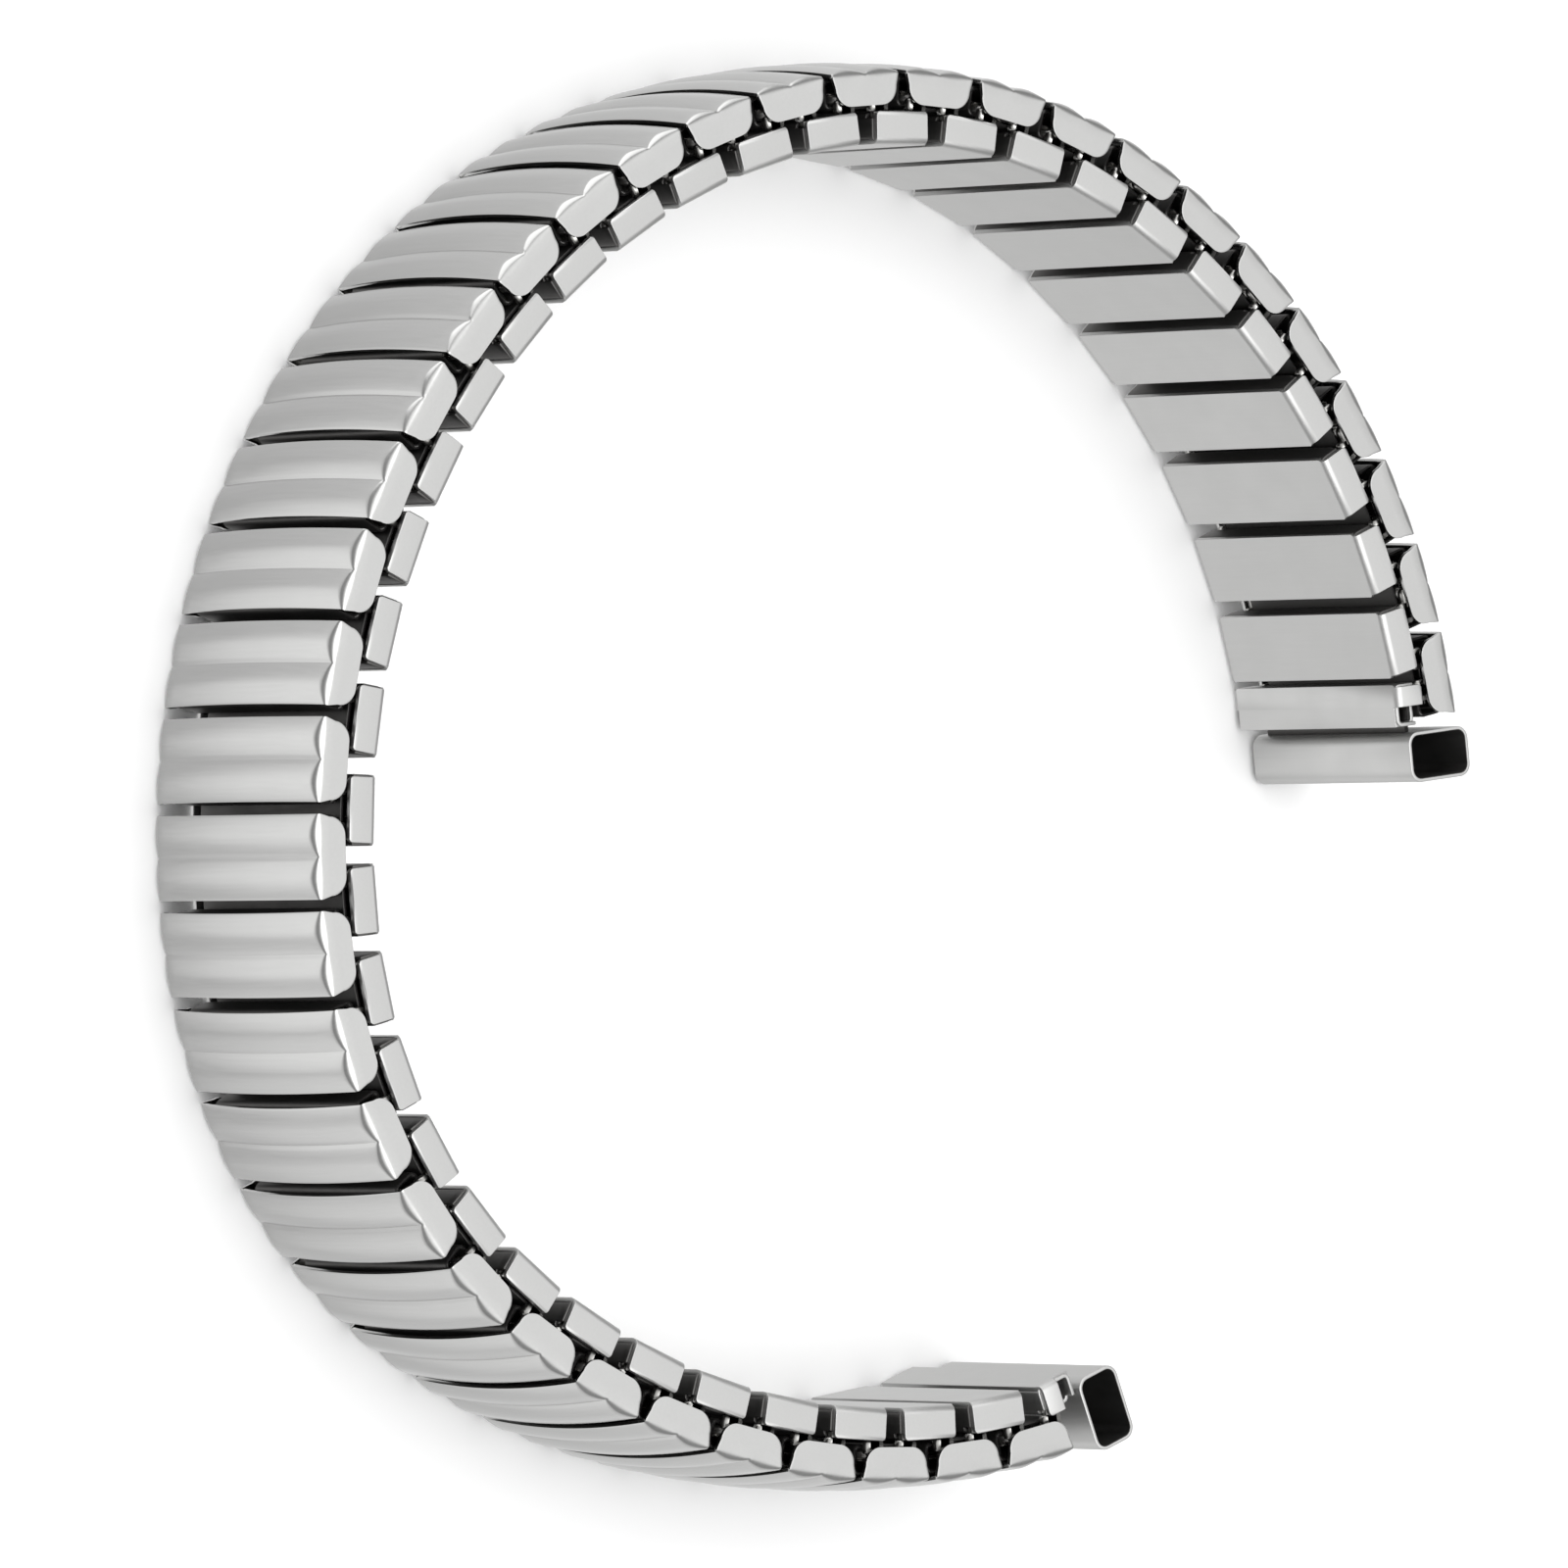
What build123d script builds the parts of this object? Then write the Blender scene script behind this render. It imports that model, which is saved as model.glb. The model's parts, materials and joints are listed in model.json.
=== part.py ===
from build123d import *
import math
import os

# Expansion watch band lying on its side edge: the hinge legs stand along Z, the band
# runs counterclockwise round the wrist space seen from above, and the open ends face -Y.
# A "depth" is measured from the covers' edge line, where the valleys between their flutes
# meet the fold, towards the wrist.

# the chain
LINK_COUNT = 37                 # outer links, with one inner link fewer between them
BEND_RUNS = [(7, 7.0), (5, 8.3), (12, 7.15), (5, 9.8), (7, 6.25)]   # links, degrees each
FIRST_END_BEND = 6.0            # degrees that the first end piece is turned at its hinge
LAST_END_BEND = 10.0
HALF_TURN = 180.0               # degrees; the middle link lies at the back, crosswise

# the outer row
BAND_WIDTH = 10.0               # over the ears
COVER_LENGTH = 3.16             # along the band
COVER_GAP = 0.20                # between two covers when the band is straight
COVER_SHEET = 0.15
FLUTE_RISE = 0.16               # how far the two flutes stand above the valleys
CROWN_RISE = 0.33               # how far the cover domes over the band's width
FOLD_RADIUS = 0.18              # outside of the fold from the face to the ear
EAR_DEPTH = 1.26                # how far the ear reaches down from the edge line
EAR_TAPER = 0.12                # each side, over the ear's depth
EAR_CORNER = 0.70
EDGE_INSET = 0.04               # the sleeve is shorter than its cover at each side

# the inner row
INNER_GAP = 0.74                # between two inner links when the band is straight
INNER_EAR_DEPTH = 1.26          # from the inner face towards the covers
INNER_EAR_CORNER = 0.12
INNER_EAR_SIDE = 0.09           # the ear is this much narrower than its sleeve, each side
INNER_FOLD = 0.28
FACE_SHEET = 0.20
INNER_INSET = 0.06              # the inner ears stand back from the ears of the covers

# sleeves, springs and staples
WALL = 0.15
SLEEVE_CORNER = 0.25
ROW_GAP = 0.16                  # between the sleeves of the two rows
LEG_DIAMETER = 0.44
LEG_LENGTH = 3.0
LEG_CLEARANCE = 0.05
SPRING_SHEET = 0.08
SPRING_BOW = 0.39               # free height of the bow in the outer sleeve
INNER_SPRING_BOW = 0.37
SPRING_PAD = 0.70               # flat end of the spring that presses on the legs
SPRING_INSET = 0.25             # from the sleeve's end
SPRING_SIDE_GAP = 0.30          # from the sleeve's side wall
WEB_WIDTH = 0.80
WEB_CORNER = 0.12
WEB_SHEET = 0.30
WEB_CLEARANCE = 0.06
STRETCH = 1.0                   # travel of one sliding overlap

# the end pieces
FIRST_END_REACH = 0.45          # from the middle of the first cover to the end hinge
LAST_END_REACH = 1.05           # the last end piece is drawn further out
END_EAR_LENGTH = 0.88
END_FACE_LENGTH = 1.64
TUBE_GAP = 0.28                 # from the half link's face to the tube
TUBE_ALONG = 1.95               # along the band
TUBE_DEPTH = 3.00               # through the band
TUBE_DROP = 0.35                # how far the tube reaches past the tongue, towards the wrist
TUBE_WALL = 0.15
TUBE_CORNER = 0.50
TUBE_INSET = 0.30               # from the band's edge, both ends
TONGUE_INSET = 0.20             # from the sleeve's end
TONGUE_GRIP = 0.85              # how far the tongue reaches into the half link
TONGUE_SHEET = 0.18

# worked out from the sizes above
pitch = COVER_LENGTH + COVER_GAP
inner_length = pitch - INNER_GAP
leg_radius = LEG_DIAMETER / 2
hinge_reach = inner_length / 2 - WALL - leg_radius - LEG_CLEARANCE
leg_reach = pitch / 2 - hinge_reach
sleeve_length = COVER_LENGTH - 2 * EDGE_INSET
slide_open = leg_radius + LEG_CLEARANCE + WALL - sleeve_length / 2
slide_closed = slide_open + STRETCH

outer_top = COVER_SHEET
outer_bottom = outer_top + WALL + SPRING_BOW + SPRING_SHEET + LEG_DIAMETER + WALL
inner_top = outer_bottom + ROW_GAP
face_inside = inner_top + WALL + LEG_DIAMETER + SPRING_SHEET + INNER_SPRING_BOW
band_depth = face_inside + FACE_SHEET
outer_leg_depth = outer_bottom - WALL - leg_radius
pivot_depth = inner_top + WALL + leg_radius

inner_ear_inside = INNER_INSET + FACE_SHEET
web_start = inner_ear_inside + WEB_CLEARANCE
sleeve_start = web_start + WEB_SHEET + WEB_CLEARANCE
end_edge = -(WALL + LEG_CLEARANCE + leg_radius)
face_end = end_edge + END_FACE_LENGTH
tube_start = face_end + TUBE_GAP
tongue_top = inner_top + WALL
tube_top = tongue_top + TONGUE_SHEET + TUBE_DROP - TUBE_DEPTH
middle = BAND_WIDTH / 2
reach_past = BAND_WIDTH         # a length that is longer than any piece, for cutting


def depth(value):
    """A depth as the local y, which is zero on the line of the hinge legs."""
    return value - pivot_depth


def bends():
    """The bend between each outer link and the next, in degrees."""
    listed = []
    for count, angle in BEND_RUNS:
        listed += [angle] * count
    return listed


def step(place, along):
    """The place reached from a place by going along its own direction."""
    x, y, angle = place
    turn = math.radians(angle)
    return (x + along * math.cos(turn), y + along * math.sin(turn), angle)


def turned(place, angle):
    return (place[0], place[1], place[2] + angle)


def chain():
    """Places (x, y, degrees) of the outer links, the inner links and both end hinges."""
    place = (0.0, 0.0, 0.0)
    first = turned(step(place, -FIRST_END_REACH), -FIRST_END_BEND)
    outer = [place]
    inner = []
    for bend in bends():
        pivot = turned(step(place, leg_reach), bend / 2)
        link = step(pivot, hinge_reach)
        inner.append(link)
        pivot = turned(step(link, hinge_reach), bend / 2)
        place = step(pivot, leg_reach)
        outer.append(place)
    last = turned(step(place, LAST_END_REACH), LAST_END_BEND)
    return outer, inner, first, last


def spot(place):
    """The location of a link's own frame: x along the band, y towards the wrist."""
    return Location((place[0], place[1], 0), (0, 0, place[2]))


def point_in(place, x, y):
    """A point of a link's own frame, in the frame of the whole band."""
    moved = step(place, x)
    moved = step((moved[0], moved[1], moved[2] + HALF_TURN / 2), y)
    return (moved[0], moved[1])


def seen_from(place, point):
    """A point of the whole band's frame, in a link's own frame."""
    turn = math.radians(place[2])
    x = point[0] - place[0]
    y = point[1] - place[1]
    return (x * math.cos(turn) + y * math.sin(turn), y * math.cos(turn) - x * math.sin(turn))


def slab(x0, x1, y0, y1, z0, z1):
    box = Box(x1 - x0, y1 - y0, z1 - z0)
    return Pos((x0 + x1) / 2, (y0 + y1) / 2, (z0 + z1) / 2) * box


def rounded_block(x0, x1, y0, y1, z0, z1, corner):
    sheet = RectangleRounded(x1 - x0, y1 - y0, corner)
    return Pos((x0 + x1) / 2, (y0 + y1) / 2, z0) * extrude(sheet, z1 - z0)


def tube(x0, x1, y0, y1, z0, z1, wall, corner):
    """A hollow box with rounded corners that runs along Z."""
    outside = rounded_block(x0, x1, y0, y1, z0, z1, corner)
    bore = rounded_block(x0 + wall, x1 - wall, y0 + wall, y1 - wall, z0, z1, corner - wall)
    return outside - bore


def bent_sheet(half_length, z_edge, ear_end, face_top, radius, sheet, tail):
    """An ear with its fold and a short piece of the face, for the low-z side.

    The face lies at face_top and the ear runs from it to ear_end; both are depths, so the
    same function bends the covers' ears inwards and the inner links' ears outwards.
    """
    way = 1 if ear_end > face_top else -1
    top = depth(face_top)
    end = depth(ear_end)
    outer_start = (z_edge, top + way * radius)
    outer_stop = (z_edge + radius, top)
    inner_stop = (z_edge + radius, top + way * sheet)
    inner_start = (z_edge + sheet, top + way * radius)
    middle_share = math.sqrt(0.5)
    near = radius * (1 - middle_share)
    far = radius - (radius - sheet) * middle_share
    outline = [
        Line((z_edge, end), outer_start),
        ThreePointArc(outer_start, (z_edge + near, top + way * near), outer_stop),
        Line(outer_stop, (z_edge + radius + tail, top)),
        Line((z_edge + radius + tail, top), (z_edge + radius + tail, top + way * sheet)),
        Line((z_edge + radius + tail, top + way * sheet), inner_stop),
        ThreePointArc(inner_stop, (z_edge + far, top + way * far), inner_start),
        Line(inner_start, (z_edge + sheet, end)),
        Line((z_edge + sheet, end), (z_edge, end)),
    ]
    face = make_face(Curve() + outline)
    # the outline is drawn as (z, y) and stood up so that its first axis becomes Z
    stood = Plane(origin=(-half_length, 0, 0), x_dir=(0, 0, 1), z_dir=(-1, 0, 0)) * face
    return extrude(stood, 2 * half_length, dir=(1, 0, 0))


def both_sides(piece):
    """A piece and its mirror image on the other side of the band's width."""
    return piece + mirror(piece, Plane.XY.offset(middle))


def make_cover():
    half = COVER_LENGTH / 2
    rise = FLUTE_RISE
    valley = depth(0) - CROWN_RISE
    under = valley + COVER_SHEET
    outline = [
        Line((-half, under), (-half, valley)),
        ThreePointArc((-half, valley), (-half / 2, valley - rise), (0, valley)),
        ThreePointArc((0, valley), (half / 2, valley - rise), (half, valley)),
        Line((half, valley), (half, under)),
        Line((half, under), (-half, under)),
    ]
    section = Pos(0, 0, middle) * make_face(Curve() + outline)
    reach = middle - FOLD_RADIUS
    radius = (reach ** 2 + CROWN_RISE ** 2) / (2 * CROWN_RISE)
    half_arc = math.degrees(math.asin(reach / radius))
    axis = Axis((0, valley + radius, middle), (1, 0, 0))
    arch = revolve(section.rotate(axis, -half_arc), axis, 2 * half_arc)
    ear = bent_sheet(half, 0, EAR_DEPTH, 0, FOLD_RADIUS, COVER_SHEET, COVER_SHEET)
    slim = half - EAR_TAPER
    # the ear's lower corners are rounded off by this outline
    shape = Polyline(
        (-half, depth(0)),
        (-slim, depth(EAR_DEPTH)),
        (slim, depth(EAR_DEPTH)),
        (half, depth(0)),
        close=True,
    )
    shape = make_face(shape)
    low = shape.vertices().sort_by(Axis.Y)[-2:]
    shape = extrude(fillet(low, EAR_CORNER), BAND_WIDTH)
    return arch + (both_sides(ear) & shape)


def make_outer_sleeve():
    half = sleeve_length / 2
    top = depth(outer_top)
    bottom = depth(outer_bottom)
    end = BAND_WIDTH - sleeve_start
    return tube(-half, half, top, bottom, sleeve_start, end, WALL, SLEEVE_CORNER)


def make_spring(half_width, pad, back):
    """A bowed strip whose middle lies against the depth back and whose ends at pad."""
    way = 1 if pad > back else -1
    start = sleeve_start + SPRING_INSET
    lean = start + SPRING_PAD
    end = BAND_WIDTH - start
    rest = BAND_WIDTH - lean
    face_pad = depth(pad)
    face_back = depth(back)
    thick = way * SPRING_SHEET
    outline = [
        Line((start, face_pad), (lean, face_pad)),
        ThreePointArc((lean, face_pad), (middle, face_back + thick), (rest, face_pad)),
        Line((rest, face_pad), (end, face_pad)),
        Line((end, face_pad), (end, face_pad - thick)),
        Line((end, face_pad - thick), (rest, face_pad - thick)),
        ThreePointArc((rest, face_pad - thick), (middle, face_back), (lean, face_pad - thick)),
        Line((lean, face_pad - thick), (start, face_pad - thick)),
        Line((start, face_pad - thick), (start, face_pad)),
    ]
    face = make_face(Curve() + outline)
    stood = Plane(origin=(-half_width, 0, 0), x_dir=(0, 0, 1), z_dir=(-1, 0, 0)) * face
    return extrude(stood, 2 * half_width, dir=(1, 0, 0))


def make_outer_spring():
    half = sleeve_length / 2 - WALL - SPRING_SIDE_GAP
    return make_spring(half, outer_leg_depth - leg_radius, outer_top + WALL)


def make_inner_spring():
    half = inner_length / 2 - WALL - SPRING_SIDE_GAP
    return make_spring(half, pivot_depth + leg_radius, face_inside)


def make_shell(x0, x1, ear0, ear1, sleeve1, closed):
    """The plain face of an inner link with its two ears and the sleeve behind it."""
    face = slab(
        x0, x1, depth(face_inside), depth(band_depth), inner_ear_inside + INNER_FOLD / 2,
        BAND_WIDTH - inner_ear_inside - INNER_FOLD / 2,
    )
    half = (ear1 - ear0) / 2
    ear_top = band_depth - INNER_EAR_DEPTH
    ear = bent_sheet(half, INNER_INSET, ear_top, band_depth, INNER_FOLD, FACE_SHEET, FACE_SHEET)
    trim = RectangleRounded(2 * half, 2 * INNER_EAR_DEPTH, INNER_EAR_CORNER)
    trim = Pos(0, depth(ear_top) + INNER_EAR_DEPTH, 0) * extrude(trim, BAND_WIDTH)
    ear = Pos((ear0 + ear1) / 2, 0, 0) * (both_sides(ear) & trim)
    low = inner_ear_inside
    high = BAND_WIDTH - inner_ear_inside
    top = depth(inner_top)
    bottom = depth(band_depth)
    outside = rounded_block(x0, sleeve1, top, bottom, low, high, SLEEVE_CORNER)
    bore = rounded_block(
        x0 + WALL, sleeve1 - WALL, top + WALL, depth(face_inside), low, high,
        SLEEVE_CORNER - WALL,
    )
    # only the side walls run on to the ears: the sleeve's top leaves room for the webs
    room = slab(x0, sleeve1, top, top + SLEEVE_CORNER, low, sleeve_start)
    shell = outside - bore - both_sides(room)
    if not closed:
        # the half link's sleeve is open towards the end of the band, for the tongue
        shell = shell - slab(
            sleeve1 - SLEEVE_CORNER, reach_past, top - WALL, depth(face_inside), low, high,
        )
    return shell + face + ear


def make_inner_shell():
    half = inner_length / 2
    ear_half = half - INNER_EAR_SIDE
    return make_shell(-half, half, -ear_half, ear_half, half, True)


def make_end_shell():
    """The half link at the end; its frame starts at the hinge and runs off the band."""
    ear_start = end_edge + INNER_EAR_SIDE
    ear_end = end_edge + END_EAR_LENGTH
    return make_shell(end_edge, face_end, ear_start, ear_end, face_end, False)


def make_end_tube():
    """The tongue that is held in the half link and the tube rolled from it."""
    end = tube_start + TUBE_ALONG
    low = TUBE_INSET
    high = BAND_WIDTH - TUBE_INSET
    rise = depth(tube_top)
    roll = tube(tube_start, end, rise, rise + TUBE_DEPTH, low, high, TUBE_WALL, TUBE_CORNER)
    top = depth(tongue_top)
    tongue = slab(
        face_end - TONGUE_GRIP, tube_start + TUBE_WALL, top, top + TONGUE_SHEET,
        sleeve_start + TONGUE_INSET, BAND_WIDTH - sleeve_start - TONGUE_INSET,
    )
    return roll + tongue


def make_staple(reach, outer_leg):
    """One staple at a link's low-z edge: a leg in each row and a web that stands upright.

    The web has a neck where it goes into the inner sleeve, and an arm if its outer leg
    stands further along the band than its inner leg.
    """
    top = depth(outer_leg_depth)
    shoulder = depth(inner_top)
    plate = RectangleRounded(WEB_WIDTH, shoulder - top, WEB_CORNER)
    neck = Rot(0, 0, HALF_TURN / 2) * SlotCenterToCenter(-top, LEG_DIAMETER)
    outline = Pos(reach, (top + shoulder) / 2) * plate + Pos(reach, top / 2) * neck
    length = math.dist((reach, top), outer_leg)
    if length > LEG_CLEARANCE:
        angle = math.degrees(math.atan2(outer_leg[1] - top, outer_leg[0] - reach))
        centre = ((reach + outer_leg[0]) / 2, (top + outer_leg[1]) / 2)
        arm = Rot(0, 0, angle) * SlotCenterToCenter(length, LEG_DIAMETER)
        outline = outline + Pos(centre[0], centre[1]) * arm
    piece = Pos(0, 0, web_start) * extrude(outline, WEB_SHEET)
    leg_end = sleeve_start + LEG_LENGTH
    for leg in ((reach, 0), outer_leg):
        pin = extrude(Circle(leg_radius), leg_end - web_start)
        piece = piece + Pos(leg[0], leg[1], web_start) * pin
    return piece


def staples(place, reach, outer_leg):
    """The two staples of one overlap, at the near and the far edge."""
    near = make_staple(reach, outer_leg)
    return [spot(place) * near, spot(place) * mirror(near, Plane.XY.offset(middle))]


def outer_staples(place, reach):
    """Staples held by an outer link, at a distance from its middle."""
    return staples(place, reach, (reach, depth(outer_leg_depth)))


def slide_staples(link, following):
    """Staples held by an inner link, whose outer legs slide in the next outer link."""
    far_leg = point_in(following, slide_closed, depth(outer_leg_depth))
    return staples(link, hinge_reach, seen_from(link, far_leg))


def build():
    outer, inner, first, last = chain()
    cover = make_cover()
    sleeve = make_outer_sleeve()
    spring = make_outer_spring()
    shell = make_inner_shell()
    inner_spring = make_inner_spring()
    end_shell = make_end_shell()
    end_tube = make_end_tube()
    nodes = {}
    for number in range(1, LINK_COUNT + 1):
        place = outer[number - 1]
        pieces = [spot(place) * cover, spot(place) * sleeve, spot(place) * spring]
        high_reach = leg_reach if number < LINK_COUNT else LAST_END_REACH
        pieces += outer_staples(place, high_reach)
        if number % 2:
            low_reach = leg_reach if number > 1 else FIRST_END_REACH
            pieces += outer_staples(place, -low_reach)
            nodes[f"outer_link_{number:02d}"] = pieces
            if number < LINK_COUNT:
                link = inner[number - 1]
                held = [spot(link) * shell, spot(link) * inner_spring]
                held += slide_staples(link, outer[number])
                nodes[f"inner_link_{number:02d}"] = held
        else:
            link = inner[number - 1]
            pieces += [spot(link) * shell, spot(link) * inner_spring]
            nodes[f"link_pair_{number:02d}"] = pieces
    nodes["end_link_first"] = [spot(first) * mirror(end_shell, Plane.YZ)]
    nodes["end_tube_first"] = [spot(first) * mirror(end_tube, Plane.YZ)]
    nodes["end_link_last"] = [spot(last) * end_shell]
    nodes["end_tube_last"] = [spot(last) * end_tube]
    return nodes, outer


os.makedirs("parts", exist_ok=True)
nodes, outer = build()
# the middle link is turned to the back, then the band is centred over the origin
middle_angle = outer[LINK_COUNT // 2][2]
swing = Rot(0, 0, HALF_TURN - middle_angle)
groups = {}
for name, pieces in nodes.items():
    groups[name] = []
    for piece in pieces:
        groups[name] += (swing * piece).solids()
box = Compound([solid for solids in groups.values() for solid in solids]).bounding_box()
centre = box.center()
shift = Pos(-centre.X, -centre.Y, -box.min.Z)
for name, solids in groups.items():
    export_step(Compound([shift * solid for solid in solids]), f"parts/{name}.step")
print("moved by", -centre.X, -centre.Y, -box.min.Z, "turned by", HALF_TURN - middle_angle)
print("size", box.size.X, box.size.Y, box.size.Z)
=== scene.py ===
"""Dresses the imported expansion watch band: fluted covers over sprung sleeves, plain inner
links, staples, leaf springs and a rolled tube at each end.

A link's own frame has X along the band, Y towards the wrist and Z across the width. Its
origin is on the line of the hinge legs. A "depth" is measured from the edge line, where the
valleys of the covers meet the fold, towards the wrist. Lengths are metres.
"""

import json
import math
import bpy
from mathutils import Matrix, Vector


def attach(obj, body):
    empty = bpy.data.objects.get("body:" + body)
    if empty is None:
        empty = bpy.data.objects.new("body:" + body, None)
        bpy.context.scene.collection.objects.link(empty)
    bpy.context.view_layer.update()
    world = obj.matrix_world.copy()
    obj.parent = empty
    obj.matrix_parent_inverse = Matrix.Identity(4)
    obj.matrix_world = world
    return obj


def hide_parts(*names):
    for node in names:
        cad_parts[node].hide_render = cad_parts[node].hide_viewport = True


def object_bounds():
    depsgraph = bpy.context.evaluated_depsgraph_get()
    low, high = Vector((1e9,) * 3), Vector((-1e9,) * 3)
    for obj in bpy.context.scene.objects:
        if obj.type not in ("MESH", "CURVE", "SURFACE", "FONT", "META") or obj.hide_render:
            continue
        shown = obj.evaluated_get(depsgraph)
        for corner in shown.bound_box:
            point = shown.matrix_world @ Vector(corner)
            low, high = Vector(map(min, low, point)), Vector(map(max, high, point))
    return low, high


bl_info = {
    "name": "Expansion watch band",
    "version": (1, 0, 0),
    "blender": (4, 5, 0),
    "location": "3D View > Sidebar > Watch band",
    "description": "Builds the links, springs, staples and end tubes of a steel stretch band",
    "category": "Add Mesh",
}

from collections import namedtuple
from functools import partial

import bmesh
import bpy
from bpy.props import FloatProperty, FloatVectorProperty, PointerProperty
from mathutils import Matrix, Vector

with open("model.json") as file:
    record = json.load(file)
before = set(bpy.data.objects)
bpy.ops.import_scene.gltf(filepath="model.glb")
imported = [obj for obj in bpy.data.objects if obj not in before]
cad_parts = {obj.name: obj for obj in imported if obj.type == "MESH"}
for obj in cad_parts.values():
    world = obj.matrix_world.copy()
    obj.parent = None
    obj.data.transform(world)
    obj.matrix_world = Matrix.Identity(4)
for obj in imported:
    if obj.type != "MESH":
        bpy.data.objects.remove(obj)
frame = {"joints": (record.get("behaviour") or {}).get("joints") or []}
cad_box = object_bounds()

MM = 0.001
QUARTER_TURN = math.pi / 2
JOINTS = {joint["name"]: joint for joint in frame["joints"]}
# hinges stand between the outer links and at both ends, so there is one more of them
LINK_COUNT = sum(name.startswith("curl_") for name in JOINTS) - 1
MIDDLE_LINK = (LINK_COUNT + 1) // 2
BAND_WIDTH = cad_box[1].z - cad_box[0].z
SENSOR_WIDTH = 36.0         # millimetres of camera film that the picture's side covers
RIM_STEPS = 2               # segments of a sheet's rounded edge
SHARP_EDGE = math.radians(50)   # an edge that turns by more gets a rim
ROUND_END = 0.99            # of a bar's half width, so that an end's two corners stay apart
CLOUD_SIZE = 1.4 * MM       # patches in the shine of a steel
GRAIN_HEIGHT = 0.004 * MM
GRAIN_SHADE = 0.90          # a steel's darkest grain, over its colour
NOISE_SUM = (0.6, 1.4)      # where the sum of two noise textures lies

Chain = namedtuple("Chain", "outer inner first last")


def linear(hex_colour):
    """An sRGB hex value as linear red, green and blue."""
    channels = [int(hex_colour[i:i + 2], 16) / 255 for i in (0, 2, 4)]
    return [c / 12.92 if c <= 0.04045 else ((c + 0.055) / 1.055) ** 2.4 for c in channels]


def length(name, description, millimetres):
    return FloatProperty(name=name, description=description, default=millimetres * MM,
                         min=0.0, precision=5, unit="LENGTH")


def direction(name, description, degrees):
    return FloatProperty(name=name, description=description, default=math.radians(degrees),
                         subtype="ANGLE")


def colour(name, description, hex_colour):
    return FloatVectorProperty(name=name, description=description, subtype="COLOR",
                               default=linear(hex_colour), min=0.0, max=1.0)


def plain_value(name, description, default):
    return FloatProperty(name=name, description=description, default=default, min=0.0)


class BandRows(bpy.types.PropertyGroup):
    """Where the two rows lie, measured from the edge line of the covers."""

    pivot_depth: length("Hinge depth", "Depth of the hinge legs", 1.89)
    outer_leg_depth: length("Outer leg depth", "Depth of the legs in the outer row", 0.99)
    outer_top: length("Outer sleeve top", "Depth of the outer sleeve's top", 0.15)
    outer_bottom: length("Outer sleeve bottom", "Depth of its other side", 1.36)
    inner_top: length("Inner sleeve top", "Depth of the inner sleeve's top", 1.52)
    band_depth: length("Band depth", "Depth of the face that lies on the wrist", 2.76)
    hinge_reach: length("Hinge reach", "From an inner link's middle to its hinge", 0.89)
    sleeve_start: length("Sleeve start", "From the band's edge to the sleeves", 0.68)
    wall: length("Sleeve wall", "Thickness of a sleeve's sheet", 0.15)
    sleeve_corner: length("Sleeve corner", "Outside radius of a sleeve's corner", 0.25)


class CoverSizes(bpy.types.PropertyGroup):
    """The fluted cover of an outer link."""

    length: length("Length", "Along the band", 3.16)
    sheet: length("Sheet", "Thickness of the sheet", 0.15)
    sleeve_inset: length("Sleeve inset", "How much shorter the sleeve is, each side", 0.04)
    flute_rise: length("Flute rise", "How far a flute stands above the valleys", 0.16)
    flute_power: plain_value("Flute power", "Power of the flute's curve, 2 for a parabola", 1.7)
    crown_rise: length("Crown rise", "How far the face domes over the width", 0.33)
    fold_radius: length("Fold radius", "Outside of the fold to the ear, in a valley", 0.15)
    crest_fold: length("Crest fold", "Outside of the fold to the ear, at a flute's crest", 0.42)
    crease: plain_value("Crease", "Depth of the crease between the flutes, over the rise", 0.15)
    ear_depth: length("Ear depth", "From the edge line to the ear's end", 1.26)
    ear_taper: length("Ear taper", "How much each side of the ear draws in", 0.12)
    ear_corner: length("Ear corner", "Radius of the ear's lower corners", 0.70)
    rim: length("Rim", "Rounding of the sheet's cut edges", 0.05)


class InnerLinkSizes(bpy.types.PropertyGroup):
    """The plain link of the inner row."""

    length: length("Length", "Along the band", 2.62)
    sheet: length("Sheet", "Thickness of the sheet", 0.20)
    inset: length("Inset", "How far the ear stands back from the covers' ears", 0.06)
    ear_depth: length("Ear depth", "From the wrist face to the ear's end", 1.26)
    ear_side: length("Ear side", "From the face's end to the ear's side, along the band", 0.09)
    ear_corner: length("Ear corner", "Radius of the ear's free corners", 0.16)
    fold_radius: length("Fold radius", "Outside of the fold from face to ear", 0.28)
    sleeve_back: length("Sleeve back", "From the wrist face to the sleeve's sheet", 0.05)
    rim: length("Rim", "Rounding of the sheet's cut edges", 0.03)
    end_ear: length("End ear", "Length of the half link's ear", 0.88)
    end_face: length("End face", "Length of the half link's face", 1.64)


class FittingSizes(bpy.types.PropertyGroup):
    """Leaf springs and staples."""

    spring_sheet: length("Spring sheet", "Thickness of a leaf spring", 0.08)
    spring_pad: length("Spring pad", "Flat end of a leaf spring", 0.70)
    spring_inset: length("Spring inset", "From the sleeve's end to the spring", 0.25)
    spring_side: length("Spring side gap", "From the sleeve's wall to the spring", 0.30)
    leg: length("Leg diameter", "Diameter of a staple's leg", 0.44)
    leg_length: length("Leg length", "How far a leg reaches into a sleeve", 3.0)
    web_start: length("Web start", "From the band's edge to a staple's web", 0.32)
    web_width: length("Web width", "Width of a staple's web", 0.80)
    web_sheet: length("Web sheet", "Thickness of a staple's web", 0.30)
    web_corner: length("Web corner", "Radius of the web's corners", 0.12)
    clearance: length("Leg clearance", "From a leg to the side wall of its sleeve", 0.05)
    slide: length("Slide offset", "From the outer link's middle to the sliding leg", 0.12)


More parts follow.
